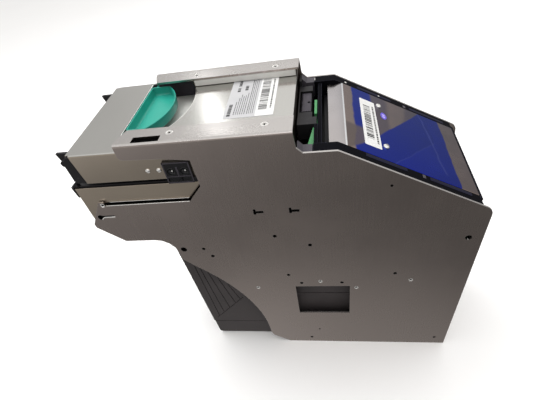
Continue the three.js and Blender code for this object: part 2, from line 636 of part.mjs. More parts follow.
function cassette() {
  const { right, front, rear, bottom, seam, seamGap, top, wall: t } = CASSETTE;
  const outline = (z0, z1, inset) => [
    [cassetteSide(z0) + inset, z0], [right - inset, z0],
    [right - inset, z1], [cassetteSide(z1) + inset, z1]];
  const grips = [
    [[15.2, 160], [18.6, 46], 1],
    [[20.9, 158], [27.8, 56.3], 1],
    [[28.2, 152], [38.6, 67.6], 1],
    [[37.6, 140], [49, 79], 1],
    [[48, 122], [57.6, 88], 1],
    [[15, 43], [62, 93], 1],
    [[100, 102], [262, 102], 1.6],
  ].map(([a, b, width]) => groove(a, b, width));
  const shell = cut(
    across(outline(seam, top, 0), front, rear),
    across(outline(seam - 1, top - t, t), front + t, rear - t),
    box(SLOT.x0, SLOT.x1, 22, 118, top - 6, top + 2), ...grips, ...grips.map(mirrored));
  place('cassette_case', shell, blackPlastic());

  const step = 0.4;
  const tray = cut(
    across(rounded([
      [cassetteSide(bottom) + step, bottom, 4], [right - step, bottom, 0],
      [right - step, seam - seamGap, 0], [cassetteSide(seam) + step, seam - seamGap, 0],
    ], 3), front + step, rear - step),
    across(outline(bottom + t, seam + 1, t + step), front + t, rear - t));
  place('cassette_base', tray, blackPlastic());

  place('pressure_plate', join(
    box(16, 262, 18, 122, PLATE_REST.z0, PLATE_REST.z1),
    box(60, 220, 40, 46, PLATE_REST.z0 - 6, PLATE_REST.z0 + 1),
    box(60, 220, 94, 100, PLATE_REST.z0 - 6, PLATE_REST.z0 + 1),
  ), greyPlastic());
  const spring = coil(140, 70, 20, 1.4, bottom + t + 2, PLATE_REST.z0 - GAP - 1.7, 7);
  place('pressure_spring', spring, brightSteel());
}

class Helix extends THREE.Curve {
  constructor(cx, cy, r, z0, z1, turns) {
    super();
    Object.assign(this, { cx, cy, r, z0, z1, turns });
  }

  getPoint(share, target = new THREE.Vector3()) {
    const angle = share * this.turns * 2 * Math.PI;
    return target.set(
      this.cx + this.r * Math.cos(angle),
      this.cy + this.r * Math.sin(angle),
      this.z0 + (this.z1 - this.z0) * share);
  }
}

function coil(cx, cy, r, wire, z0, z1, turns) {
  const section = arc(0, 0, wire, 0, 300, 5);
  const geometry = new THREE.ExtrudeGeometry(shapeOf(section), {
    extrudePath: new Helix(cx, cy, r, z0, z1, turns), steps: turns * 11, bevelEnabled: false });
  return solid(geometry);
}

// ---------------------------------------------------------------- electronics at the rear
function electronics() {
  place('interface_board', join(
    box(313.4, 315, 14, 126, 24, 200),
    box(309.6, 313.6, 34, 60, 84, 110),
    box(311, 313.6, 80, 110, 140, 176)), boardGreen());
  place('interface_connector', cut(
    box(315.3, 321.2, 49, 91, 31, 59),
    box(317.5, 322, 52, 88, 36, 54)), greyPlastic());
}

chassis();
transport();
releaseLever();
headCovers();
headRecess();
headGuides();
headBezels();
sideBlock();
hatch();
cassette();
electronics();

export default group;
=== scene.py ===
"""Bill validator: the look of the sheet steel chassis, its slide-out head, hatch and cassette."""
import json
import math
import random

import bmesh
import bpy
from mathutils import Euler, Matrix, Vector


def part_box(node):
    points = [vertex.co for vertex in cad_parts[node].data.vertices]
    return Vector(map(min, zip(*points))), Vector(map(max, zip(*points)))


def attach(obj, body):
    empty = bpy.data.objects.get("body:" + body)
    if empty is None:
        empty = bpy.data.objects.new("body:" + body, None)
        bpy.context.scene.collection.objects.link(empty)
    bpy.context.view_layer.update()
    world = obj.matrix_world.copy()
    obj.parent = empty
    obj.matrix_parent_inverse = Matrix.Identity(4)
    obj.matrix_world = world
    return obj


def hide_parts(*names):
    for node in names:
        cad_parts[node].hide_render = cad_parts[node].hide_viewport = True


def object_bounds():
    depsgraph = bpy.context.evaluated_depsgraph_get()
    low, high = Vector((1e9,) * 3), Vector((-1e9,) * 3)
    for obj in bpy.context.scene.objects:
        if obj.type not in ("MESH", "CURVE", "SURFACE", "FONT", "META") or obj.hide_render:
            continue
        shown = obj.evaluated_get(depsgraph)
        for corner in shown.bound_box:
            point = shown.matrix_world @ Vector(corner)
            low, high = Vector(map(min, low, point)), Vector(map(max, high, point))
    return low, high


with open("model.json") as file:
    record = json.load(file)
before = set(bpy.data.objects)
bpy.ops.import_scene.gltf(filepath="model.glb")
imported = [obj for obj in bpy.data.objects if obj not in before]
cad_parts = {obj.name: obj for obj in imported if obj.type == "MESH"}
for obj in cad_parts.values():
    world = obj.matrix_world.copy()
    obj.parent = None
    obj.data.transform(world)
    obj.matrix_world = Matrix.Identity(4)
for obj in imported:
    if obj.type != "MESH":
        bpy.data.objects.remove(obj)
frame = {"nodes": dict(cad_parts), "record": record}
CAD_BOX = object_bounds()
random.seed(7)

MM = 0.001
low = CAD_BOX[0]

# Sizes and places on the chassis, in mm from the front plate's outer face and lower edge.
TONGUE = 68.0                     # the plate's tongue, left of the flange
WIDTH = 140.0                     # over the two side plates
TOP = 339.6                       # upper face of the flanges
FLANGE_WIDTH = 24.0
HEAD_TOP = 331.0                  # upper face of the head's cover
INCLINE = math.radians(28.65)     # slope of the hatch
INCLINE_START = (187.9, 318.2)    # x and z where the slope starts
SIDES = (("front", 0.0, 1), ("rear", WIDTH, -1))      # name, y of the plate's outer face, way inwards


def at(x, y, z):
    """A point in mm along the chassis, from the front plate's outer face and above its lower edge."""
    return Vector((low.x + (TONGUE + x) * MM, low.y + y * MM, low.z + z * MM))


def on_hatch(s, y, n=0.0):
    """A point s mm down the incline, y across, and n above it."""
    x = INCLINE_START[0] + s * math.cos(INCLINE) + n * math.sin(INCLINE)
    z = INCLINE_START[1] - s * math.sin(INCLINE) + n * math.cos(INCLINE)
    return at(x, y, z)


HATCH_AXES = Matrix((
    (math.cos(INCLINE), 0, math.sin(INCLINE)),
    (0, 1, 0),
    (-math.sin(INCLINE), 0, math.cos(INCLINE)),
))
HATCH_UP = HATCH_AXES @ Vector((0, 0, 1))
IDENTITY = Matrix.Identity(3)


# ---------------------------------------------------------------- materials
EDGE_RADIUS = 0.0006              # how wide a worn edge is, m
FLAT_DOT, SHARP_DOT = 0.995, 0.86      # true normal against rounded normal: flat ground, worn edge
DUST = (0.30, 0.29, 0.28)
SPAN_SOCKETS = ("From Min", "From Max", "To Min", "To Max")


class Nodes:
    """A material's node tree with short ways to add to it."""

    def __init__(self, name):
        self.material = bpy.data.materials.new(name)
        self.material.use_nodes = True
        self.tree = self.material.node_tree
        self.shader = self.tree.nodes["Principled BSDF"]
        self.coords = self.tree.nodes.new("ShaderNodeTexCoord").outputs["Object"]

    def link(self, a, b):
        self.tree.links.new(a, b)

    def add(self, kind, **values):
        node = self.tree.nodes.new(kind)
        for key, value in values.items():
            setattr(node, key, value)
        return node

    def stretched(self, scale):
        node = self.add("ShaderNodeMapping")
        node.inputs["Scale"].default_value = scale
        self.link(self.coords, node.inputs["Vector"])
        return node.outputs["Vector"]

    def noise(self, scale, detail=3.0, stretch=None, rough=0.55):
        node = self.add("ShaderNodeTexNoise")
        node.inputs["Scale"].default_value = scale
        node.inputs["Detail"].default_value = detail
        node.inputs["Roughness"].default_value = rough
        self.link(self.stretched(stretch) if stretch else self.coords, node.inputs["Vector"])
        return node.outputs["Fac"]

    def span(self, value, low_in, high_in, low_out, high_out, smooth=False):
        """Maps one range onto another, and holds the ends."""
        node = self.add("ShaderNodeMapRange")
        if smooth:
            node.interpolation_type = "SMOOTHSTEP"
        self.link(value, node.inputs["Value"])
        for key, number in zip(SPAN_SOCKETS, (low_in, high_in, low_out, high_out)):
            node.inputs[key].default_value = number
        return node.outputs["Result"]

    def math(self, kind, a, b=None):
        node = self.add("ShaderNodeMath", operation=kind)
        for socket, value in zip(node.inputs, (a, b)):
            if value is None:
                continue
            if isinstance(value, (int, float)):
                socket.default_value = value
            else:
                self.link(value, socket)
        return node.outputs["Value"]

    def mix(self, factor, a, b):
        """Colour a where factor is 0 and b where it is 1. The node's colour sockets are 6, 7 and 2."""
        node = self.add("ShaderNodeMix", data_type="RGBA")
        self.link(factor, node.inputs["Factor"])
        for socket, value in ((node.inputs[6], a), (node.inputs[7], b)):
            if isinstance(value, (tuple, list)):
                socket.default_value = (*value, 1.0)
            else:
                self.link(value, socket)
        return node.outputs[2]

    def edges(self, radius=EDGE_RADIUS):
        """1 at the sharp edges, 0 on flat ground."""
        bevel = self.add("ShaderNodeBevel", samples=4)
        bevel.inputs["Radius"].default_value = radius
        true = self.add("ShaderNodeNewGeometry")
        dot = self.add("ShaderNodeVectorMath", operation="DOT_PRODUCT")
        self.link(bevel.outputs["Normal"], dot.inputs[0])
        self.link(true.outputs["Normal"], dot.inputs[1])
        return self.span(dot.outputs["Value"], FLAT_DOT, SHARP_DOT, 0.0, 1.0)

    def facing_up(self):
        """1 on faces that look up, 0 on upright faces."""
        normal = self.add("ShaderNodeTexCoord").outputs["Normal"]
        split = self.add("ShaderNodeSeparateXYZ")
        self.link(normal, split.inputs[0])
        return self.span(split.outputs["Z"], 0.35, 0.75, 0.0, 1.0)

    def bump(self, height, distance, strength):
        node = self.add("ShaderNodeBump")
        node.inputs["Distance"].default_value = distance
        node.inputs["Strength"].default_value = strength
        self.link(height, node.inputs["Height"])
        self.link(node.outputs["Normal"], self.shader.inputs["Normal"])

    def finish(self, colour, roughness, **sockets):
        self.link(colour, self.shader.inputs["Base Color"])
        self.link(roughness, self.shader.inputs["Roughness"])
        for key, value in sockets.items():
            self.shader.inputs[key.replace("_", " ")].default_value = value
        return self.material


def shade(colour, factor):
    return tuple(min(1.0, c * factor) for c in colour)


def cloudy(n, clouds, colour, contrast):
    """The colour, a little darker and lighter in slow patches."""
    patches = n.span(clouds, 0.3, 0.7, 0, 1)
    return n.mix(patches, shade(colour, 1 - contrast), shade(colour, 1 + contrast))


def steel(name, colour, rough, grain, contrast, bump=0.00001, wear_and_sheen=1.5, painted_lit_top=None):
    """Rolled or brushed sheet: fine grain, faint clouds, bright cut edges.

    grain is how fine it is along x, y and z.

    The last argument, where given, is a lighter colour for the faces that look up: painted light on the tops
    of the same steel."""
    n = Nodes(name)
    fine = n.noise(1.0, 4.0, grain, 0.7)
    streaks = n.span(fine, 0.25, 0.75, 0.0, 1.0)
    clouds = n.noise(14.0, 3.0)
    grained = n.mix(streaks, cloudy(n, clouds, colour, contrast), shade(colour, 1.04))
    # faces that look up take the lighter colour: painted light
    if painted_lit_top:
        grained = n.mix(n.facing_up(), grained, n.mix(streaks, shade(painted_lit_top, 0.94), painted_lit_top))
    scuffs = n.noise(160.0, 6.0, (1, 1, 1), 0.8)
    worn = n.math("MULTIPLY", n.edges(), n.span(scuffs, 0.35, 0.6, 0.3, 1.0))
    final = n.mix(worn, grained, shade(painted_lit_top or colour, wear_and_sheen))
    n.bump(fine, bump, 0.5)
    roughness = n.math("ADD", n.span(clouds, 0.3, 0.7, rough - 0.025, rough + 0.025),
                       n.span(fine, 0.3, 0.7, -0.012, 0.012))
    return n.finish(final, roughness, Metallic=1.0)


def plastic(name, colour, rough=0.42, grain=1400.0, depth=0.00002, contrast=0.15, wear_and_sheen=1.8,
            spec=0.5, dust=0.12, ior=1.45):
    """Moulded plastic: fine spark-eroded texture, slow tone changes, dust, and lighter edges: polish, and
    where the edge factor is large a painted highlight.
    """
    n = Nodes(name)
    texture = n.noise(grain, 3.0)
    clouds = n.noise(22.0, 2.0)
    base = cloudy(n, clouds, colour, contrast)
    specks = n.noise(260.0, 6.0, None, 0.8)
    dusty = n.mix(n.span(specks, 0.58, 0.72, 0.0, dust), base, DUST)
    # edges lightened by the edge factor: wear, and on rail_black a painted highlight
    final = n.mix(n.math("MULTIPLY", n.edges(0.0005), 0.5), dusty, shade(colour, wear_and_sheen))
    n.bump(texture, depth, 0.6)
    roughness = n.math("ADD", n.span(clouds, 0.3, 0.7, rough - 0.04, rough + 0.04),
                       n.span(texture, 0.3, 0.7, -0.05, 0.05))
    n.shader.inputs["Specular IOR Level"].default_value = spec
    return n.finish(final, roughness, IOR=ior)


def printed(name, colour, rough=0.35):
    """Paper or foil label stock: faint fibres and handling marks."""
    n = Nodes(name)
    fibres = n.noise(900.0, 4.0)
    marks = n.noise(60.0, 5.0)
    base = n.mix(n.span(marks, 0.4, 0.75, 0.0, 0.5), colour, shade(colour, 0.86))
    final = n.mix(n.span(fibres, 0.35, 0.65, 0.0, 0.3), base, shade(colour, 0.93))
    n.bump(fibres, 0.000006, 0.4)
    return n.finish(final, n.span(marks, 0.3, 0.7, rough - 0.05, rough + 0.1))


# a tan seen in the painted reflections of the hatch film
REFLECTED_TAN = (0.27, 0.205, 0.17)
FILM_DEEP, FILM_BRIGHT = (0.006, 0.013, 0.26), (0.010, 0.021, 0.34)
FILM_REFLECTIONS = (      # painted reflections in the film: colour, strength, and lines (a, b, c, softness): each patch lies where a*s + b*y > c
    ((0.008, 0.017, 0.27), 1.0, ((-1.18, 1.0, -52.5, 0.6), (-1, 0, -108, 1.0))),
    ((0.045, 0.06, 0.36), 0.55, ((-1.18, 1.0, -52.9, 0.5), (1.18, -1.0, 51.4, 0.5), (-1, 0, -108, 1.0))),
    ((0.055, 0.07, 0.38), 0.8, ((1, 0.10, 111.8, 0.5), (-1, -0.10, -113.6, 0.5), (0, 1, 26, 2))),
    ((0.150, 0.115, 0.120), 1.0, ((-1.35, 1.0, -9.0, 1.5), (1, 0, 41.0, 1.5))),
    (REFLECTED_TAN, 0.8, ((-1.35, 1.0, -9.0, 1.5), (1, 0, 41.0, 1.5), (1, 0, 58, 3), (-1, 0.25, -52, 3))),
    (REFLECTED_TAN, 1.0, ((-1, 0.02, -17.2, 1.2),)),
    (shade(REFLECTED_TAN, 0.55), 0.85, ((-1.0, 1.0, 1.0, 2.0), (0, -1, -52, 3), (-1, 0, -29, 1.5))),
    ((0.235, 0.180, 0.155), 1.0, ((1, 0, 122.5, 0.8),)),
)
BARE_FLAP = (0.50, 0.465, 0.455)      # steel without film, above the bend
# painted highlight along the flap's bend
BEND_HIGHLIGHT = (1.0, 1.0, 1.0)
FILM_TINT = (0.78, 0.86, 1.0, 1.0)


def hatch_film():
    """Polished steel under a blue film, with painted reflections laid on it in patches.

    s is mm down the slope and y mm across, both with a slow wobble; flap and bend stay straight."""
    n = Nodes("hatch_film")
    split = n.add("ShaderNodeSeparateXYZ")
    n.link(n.coords, split.inputs[0])
    start = at(INCLINE_START[0], 0, 0)
    along = n.math("DIVIDE", n.math("SUBTRACT", split.outputs["X"], start.x), math.cos(INCLINE) * MM)
    across = n.math("DIVIDE", n.math("SUBTRACT", split.outputs["Y"], start.y), MM)
    wobble = n.span(n.noise(26.0, 2.0), 0.3, 0.7, -2.0, 2.0)
    s = n.math("ADD", along, wobble)
    y = n.math("ADD", across, n.math("MULTIPLY", wobble, 0.6))

    def beyond(a, b, c, soft):
        """1 where a*s + b*y > c."""
        value = n.math("ADD", n.math("MULTIPLY", s, a), n.math("MULTIPLY", y, b))
        return n.span(value, c - soft, c + soft, 0.0, 1.0, True)

    film_and_reflections = n.mix(n.span(n.noise(9.0, 2.0), 0.35, 0.65, 0.0, 1.0), FILM_DEEP, FILM_BRIGHT)
    for colour, strength, lines in FILM_REFLECTIONS:
        mask = strength
        for line in lines:
            mask = n.math("MULTIPLY", beyond(*line), mask)
        # each patch laid over the film is a painted reflection
        film_and_reflections = n.mix(mask, film_and_reflections, colour)
    final = n.mix(n.span(along, 7.9, 8.5, 1.0, 0.0), film_and_reflections, BARE_FLAP)
    # a painted highlight along the bend between film and flap
    bend = n.math("MULTIPLY", n.span(along, 7.4, 8.2, 0.0, 1.0), n.span(along, 9.0, 9.6, 1.0, 0.0))
    final = n.mix(n.math("MULTIPLY", bend, 0.9), final, BEND_HIGHLIGHT)
    n.bump(n.noise(30.0, 2.0), 0.0006, 0.25)
    n.shader.inputs["Specular Tint"].default_value = FILM_TINT
    smudge = n.noise(40.0, 5.0)
    return n.finish(final, n.span(smudge, 0.3, 0.7, 0.14, 0.30), Metallic=1.0)


M = {
    # the last colour of side_steel and bright_steel is painted light on the faces that look up
    "side_steel": steel("side_steel", (0.43, 0.372, 0.346), 0.27, (700, 700, 18), 0.04, 0.0000015, 1.25,
                        (0.63, 0.605, 0.59)),
    "olive_steel": steel("olive_steel", (0.51, 0.44, 0.36), 0.30, (20, 700, 700), 0.07, 0.000004),
    "bright_steel": steel("bright_steel", (0.49, 0.425, 0.353), 0.19, (900, 20, 900), 0.05, 0.000003,
                          painted_lit_top=(0.61, 0.605, 0.58)),
    "light_paint": plastic("light_paint", (0.66, 0.65, 0.62), 0.35, 900.0, 0.000006, 0.06, 1.2),
    "turned_steel": steel("turned_steel", (0.62, 0.62, 0.62), 0.25, (500, 30, 500), 0.08),
    "screw_steel": steel("screw_steel", (0.92, 0.91, 0.89), 0.20, (300, 300, 300), 0.05),
    "black_plastic": plastic("black_plastic", (0.013, 0.0125, 0.0145), 0.46, spec=0.28),
    "grey_plastic": plastic("grey_plastic", (0.052, 0.047, 0.058), spec=0.35),
    "case_plastic": plastic("case_plastic", (0.062, 0.054, 0.055), 0.5, spec=0.35),
    "handle_green": plastic("handle_green", (0.014, 0.265, 0.205), 0.33, 1200.0, 0.000012, 0.08, 1.7),
    "lever_green": plastic("lever_green", (0.045, 0.215, 0.075), 0.38, 1200.0, 0.000012, 0.08, 1.5),
    "board": plastic("board", (0.02, 0.14, 0.07), 0.3, 700.0, 0.00001, 0.25, 1.3),
    "gloss_black": plastic("gloss_black", (0.008, 0.008, 0.010), 0.16, wear_and_sheen=1.2),
    # rail_black's large edge factor paints a highlight along the rails' edges
    "rail_black": plastic("rail_black", (0.0035, 0.0035, 0.005), 0.38, wear_and_sheen=22, dust=0.01, ior=1.06),
    "rail_navy": plastic("rail_navy", (0.012, 0.012, 0.024), 0.38, wear_and_sheen=1.6, dust=0.02, ior=1.1),
    # a near-black put in gaps, holes, slots and recesses as painted shade
    "painted_shade": plastic("painted_shade", (0.002, 0.002, 0.002), 0.8, wear_and_sheen=1.0, dust=0.0, ior=1.02),
    "rubber": plastic("rubber", (0.02, 0.02, 0.021), 0.75, 900.0, 0.00004, 0.2, 1.6, 0.3),
    "paper": printed("paper", (0.66, 0.66, 0.65)),
    "foil": printed("foil", (0.42, 0.42, 0.43), 0.35),
    "ink": printed("ink", (0.012, 0.012, 0.013), 0.5),
    "violet": printed("violet", (0.10, 0.065, 0.50), 0.3),
    "lilac": printed("lilac", (0.42, 0.36, 0.80), 0.3),
    "brass": steel("brass", (0.75, 0.55, 0.22), 0.25, (400, 400, 400), 0.08),
    "mirror_steel": hatch_film(),
}

# ---------------------------------------------------------------- CAD nodes kept as they are
NODE_LOOK = {entry["node"]: entry["material_slot"] for entry in frame["record"]["subparts"]}
NODE_LOOK.update(cassette_case="case_plastic", cassette_base="case_plastic", hatch_frame="rail_black",
                 lever_shade="rail_black", side_block_front="gloss_black", side_block_rear="gloss_black")
EDGE_WIDTH = 0.00025
SOFT_EDGE = dict(
    handle=0.0008, recess_tub=0.0006, hatch_frame=0.0007, cassette_case=0.0006, cassette_base=0.0006,
    release_lever=0.0004, hatch_cover=0.0004)
WELD_GAP = 0.00001
FLAT_ANGLE = math.radians(0.4)
SHARP_ANGLE = math.radians(34)


def finish_node(name, look):
    """Rounds the edges of a CAD node and gives it its material."""
    node = frame["nodes"][name]
    mesh = node.data
    mesh.materials.clear()
    mesh.materials.append(M[look])
    for face in mesh.polygons:
        face.use_smooth = True
        face.material_index = 0
    weld = node.modifiers.new("weld", "WELD")
    weld.merge_threshold = WELD_GAP
    flat = node.modifiers.new("flat", "DECIMATE")
    flat.decimate_type = "DISSOLVE"
    flat.angle_limit = FLAT_ANGLE
    bevel = node.modifiers.new("bevel", "BEVEL")
    bevel.limit_method = "ANGLE"
    bevel.angle_limit = SHARP_ANGLE
    bevel.width = SOFT_EDGE.get(name, EDGE_WIDTH)
    bevel.segments = 2
    bevel.use_clamp_overlap = True
    normals = node.modifiers.new("normals", "WEIGHTED_NORMAL")
    normals.keep_sharp = True


for node_name, look in NODE_LOOK.items():
    finish_node(node_name, look)


# ---------------------------------------------------------------- mesh helpers
ARC_STEPS = 5       # steps in a round corner
BOW_STEPS = 28      # steps in the long bow of the handle and the recess


def place(name, data, material, body):
    """Puts a mesh or curve in the scene as a named piece that rides on a body."""
    data.materials.append(M[material])
    obj = bpy.data.objects.new(name, data)
    bpy.context.scene.collection.objects.link(obj)
    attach(obj, body)
    return obj


def piece(name, bm, material, body, smooth=34):
    """Turns a bmesh into a piece. Edges sharper than smooth degrees stay sharp."""
    bmesh.ops.recalc_face_normals(bm, faces=bm.faces)
    limit = math.radians(smooth)
    for face in bm.faces:
        face.smooth = True
    for edge in bm.edges:
        if len(edge.link_faces) == 2 and edge.calc_face_angle(0) > limit:
            edge.smooth = False
    mesh = bpy.data.meshes.new(name)
    bm.to_mesh(mesh)
    bm.free()
    return place(name, mesh, material, body)


def tube(name, points, radius, material, body):
    """A wire through points, with closed ends."""
    curve = bpy.data.curves.new(name, "CURVE")
    curve.dimensions = "3D"
    curve.bevel_depth = radius * MM
    curve.bevel_resolution = 3
    curve.use_fill_caps = True
    spline = curve.splines.new("POLY")
    spline.points.add(len(points) - 1)
    spline.use_smooth = True
    for target, point in zip(spline.points, points):
        target.co = (*point, 1)
    return place(name, curve, material, body)


def axes_for(direction):
    """Axes whose Z points along direction."""
    return Vector(direction).normalized().to_track_quat("Z", "Y").to_matrix()


def skin(bm, rings, closed=False):
    """Joins rings of equal count; closes both ends, or joins the last ring to the first."""
    made = [[bm.verts.new(point) for point in ring] for ring in rings]
    count = len(made[0])
    following = made[1:] + made[:1] if closed else made[1:]
    for a, b in zip(made, following):
        for i in range(count):
            j = (i + 1) % count
            bm.faces.new((a[i], a[j], b[j], b[i]))
    if not closed:
        bm.faces.new(list(reversed(made[0])))
        bm.faces.new(made[-1])


def lathe(bm, centre, axes, profile, sides=24):
    """Turns (radius, height) rings round the axes' Z. A third number is the depth of six lobes."""
    rings = []
    for radius, height, *lobes in profile:
        depth = lobes[0] if lobes else 0.0
        ring = []
        for i in range(sides):
            turn = 2 * math.pi * i / sides
            r = radius * (1 + depth * math.cos(6 * turn)) * MM
            ring.append(centre + axes @ Vector((r * math.cos(turn), r * math.sin(turn), height * MM)))
        rings.append(ring)
    skin(bm, rings)


def block(bm, centre, size, axes=IDENTITY, bevel=0.2):
    """A box of size (x, y, z) mm with rounded edges."""
    made = bmesh.ops.create_cube(bm, size=1.0)["verts"]
    for vert in made:
        vert.co = centre + axes @ Vector([c * s * MM for c, s in zip(vert.co, size)])
    edges = list(dict.fromkeys(edge for vert in made for edge in vert.link_edges))
    bmesh.ops.bevel(
        bm, geom=edges, offset=bevel * MM, segments=2, profile=0.6, affect="EDGES", clamp_overlap=True)


def slab(bm, outline, axes, centre, thick):
    """A flat plate of a closed outline (u, v) in mm, standing thick mm above its centre."""
    skin(bm, [[centre + axes @ Vector((u * MM, v * MM, n * MM)) for u, v in outline] for n in (0, thick)])


def round_rect(w, h, r):
    """Outline of a rectangle with round corners."""
    points = []
    u, v = w / 2 - r, h / 2 - r
    for quarter, (cu, cv) in enumerate(((u, v), (-u, v), (-u, -v), (u, -v))):
        for i in range(ARC_STEPS + 1):
            turn = math.radians(90 * quarter + 90 * i / ARC_STEPS)
            points.append((cu + r * math.cos(turn), cv + r * math.sin(turn)))
    return points


def round_corners(corners):
    """Corner list (u, v, radius) to an outline: corners with a radius become arcs."""
    outline = []
    for i, (u, v, radius) in enumerate(corners):
        here = Vector((u, v))
        if radius <= 0:
            outline.append(here)
            continue
        a = (Vector(corners[i - 1][:2]) - here).normalized()
        b = (Vector(corners[(i + 1) % len(corners)][:2]) - here).normalized()
        half = a.angle(b) / 2
        centre = here + (a + b).normalized() * radius / math.sin(half)
        start = here + a * radius / math.tan(half) - centre
        end = here + b * radius / math.tan(half) - centre
        turn = start.angle_signed(end)
        for k in range(ARC_STEPS + 1):
            outline.append(centre + Matrix.Rotation(-turn * k / ARC_STEPS, 2) @ start)
    return outline


def bow_outline(left, near, far, cx, cy, r, inset, corner):
    """A straight left side and a bow of radius r round (cx, cy) on the right, inset all round."""
    r -= inset
    near, far, left = near + inset, far - inset, left + inset
    first, last = math.asin((near - cy) / r), math.asin((far - cy) / r)
    soft = max(corner - inset, 0.3)
    bow = []
    for k in range(BOW_STEPS + 1):
        turn = first + (last - first) * k / BOW_STEPS
        bow.append((cx + r * math.cos(turn), cy + r * math.sin(turn), 0))
    bow[0] = (*bow[0][:2], soft)
    bow[-1] = (*bow[-1][:2], soft)
    return round_corners([(left, far, soft), (left, near, soft)] + bow)


def bow_loft(bm, shape, corner, profile, closed=False):
    """Skins one bow outline at each (inset, z) of the profile."""
    rings = []
    for inset, z in profile:
        outline = bow_outline(inset=inset, corner=corner, **shape)
        rings.append([at(point.x, point.y, z) for point in outline])
    skin(bm, rings, closed)


# ---------------------------------------------------------------- screws and rivets
FLUSH_HEAD = (      # share of the head's radius, height in mm, depth of the lobes
    (0.45, -1.8, 0), (0.98, -0.32, 0), (1, -0.16, 0), (0.96, 0.03, 0), (0.88, 0.17, 0), (0.78, 0.24, 0),
    (0.66, 0.18, 0), (0.54, 0, 0.16), (0.48, -0.15, 0.16), (0.46, -1.0, 0.16), (0.15, -1.15, 0))
DOME_STEPS = 6
PLATE_SCREWS = ((165.2, 142.1), (205.8, 129.4), (90.5, 131.2), (263.9, 142.9), (-44.4, 273.6))      # x, z
FLANGE_SCREWS = ((46, 15.3), (129.3, 15.2))      # x, and y in from the plate's outer face
# dark discs at the foot of the screws' drives: painted shade
PLATE_DRIVE_SHADE = ((1.2, -0.2), (1.2, 0.1), (0.6, 0.12), (0.05, 0.12))
FLANGE_DRIVE_SHADE = ((0.9, -0.2), (0.9, 0.1), (0.5, 0.12), (0.05, 0.12))
HEAD_SINK = 0.26      # a flush screw's centre lies this far under the sheet's face
DRIVE_SINK = 0.6      # the painted shade at the foot of its drive lies this far under


def flush_screw(name, centre, outward, radius, body):
    """A countersunk screw: a low raised ring round a six-lobe drive."""
    bm = bmesh.new()
    profile = [(radius * share, height, lobes) for share, height, lobes in FLUSH_HEAD]
    lathe(bm, centre, axes_for(outward), profile, 36)
    return piece(name, bm, "screw_steel", body)


def dome_rivet(name, centre, outward, radius, height, body, drive=False):
    """A domed head; with a drive it is a pan head screw."""
    bm = bmesh.new()
    profile = [(radius * 0.9, -0.3), (radius, 0.0), (radius, height * 0.25)]
    for i in range(1, DOME_STEPS):
        turn = math.pi / 2 * i / DOME_STEPS
        profile.append((radius * math.cos(turn), height * (0.25 + 0.75 * math.sin(turn))))
    if drive:
        profile = profile[:-1] + [(radius * 0.42, height * 0.96, 0.15), (radius * 0.36, height * 0.35, 0.15)]
    else:
        profile.append((radius * 0.08, height))
    lathe(bm, centre, axes_for(outward), profile, 36 if drive else 24)
    return piece(name, bm, "screw_steel", body)


def side_screws(side, y, inward):
    """The flush screws of one plate and flange, painted shade in their drives, and the head's rivets."""
    outward = (0, -inward, 0)
    shaded_drives = bmesh.new()
    for i, (x, z) in enumerate(PLATE_SCREWS, 1):
        flush_screw(f"plate_screw_{side}_{i}", at(x, y + inward * HEAD_SINK, z), outward, 2.6, "chassis")
        lathe(shaded_drives, at(x, y + inward * DRIVE_SINK, z), axes_for(outward), PLATE_DRIVE_SHADE, 12)
    for i, (x, inset) in enumerate(FLANGE_SCREWS, 1):
        screw_y = y + inward * inset
        flush_screw(f"flange_screw_{side}_{i}", at(x, screw_y, TOP - HEAD_SINK), (0, 0, 1), 3.7, "chassis")
        lathe(shaded_drives, at(x, screw_y, TOP - DRIVE_SINK), IDENTITY, FLANGE_DRIVE_SHADE, 12)
    piece(f"screw_drive_shade_{side}", shaded_drives, "painted_shade", "chassis")
    for i, x in enumerate((18.4, 29.2), 1):
        dome_rivet(f"head_rivet_{side}_{i}", at(x, y + inward * 3.0, 309.6), outward, 2.3, 1.4, "head")


for side in SIDES:
    side_screws(*side)
for i, y in enumerate((106.1, 34.3), 1):
    dome_rivet(f"hatch_screw_{i}", on_hatch(48.5, y), HATCH_UP, 3.0, 2.4, "hatch", drive=True)


# ---------------------------------------------------------------- painted shade in the cassette seam, and hatch rails
def cassette_seam_shade():
    """Painted shade in the gap between the cassette's case and base, at its front, rear and left."""
    case_low, case_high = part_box("cassette_case")
    base_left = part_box("cassette_base")[0].x
    middle = (case_low + case_high) / 2
    z = case_low.z - 0.75 * MM
    bm = bmesh.new()
    for y in (case_low.y + 0.9 * MM, case_high.y - 0.9 * MM):
        block(bm, Vector((middle.x + 3 * MM, y, z)), (271, 0.5, 2.4), bevel=0.1)
    block(bm, Vector((base_left + 0.8 * MM, middle.y, z)), (0.5, 114, 2.4), bevel=0.1)
    piece("cassette_seam_shade", bm, "painted_shade", "cassette")


RAIL_LIFT = (at(193.8, 11.1, 314.9) - on_hatch(0, 11.1)).dot(HATCH_UP) / MM    # rails' face over the slope
RAIL_STRIPS = (      # name, look, and stretches from x to x; the grey strip is a painted glint
    ("navy", "rail_navy", ((211, 246), (266, 304))),
    # the grey strip is a painted glint on the rail
    ("grey", "grey_plastic", ((259.5, 262),)),
)


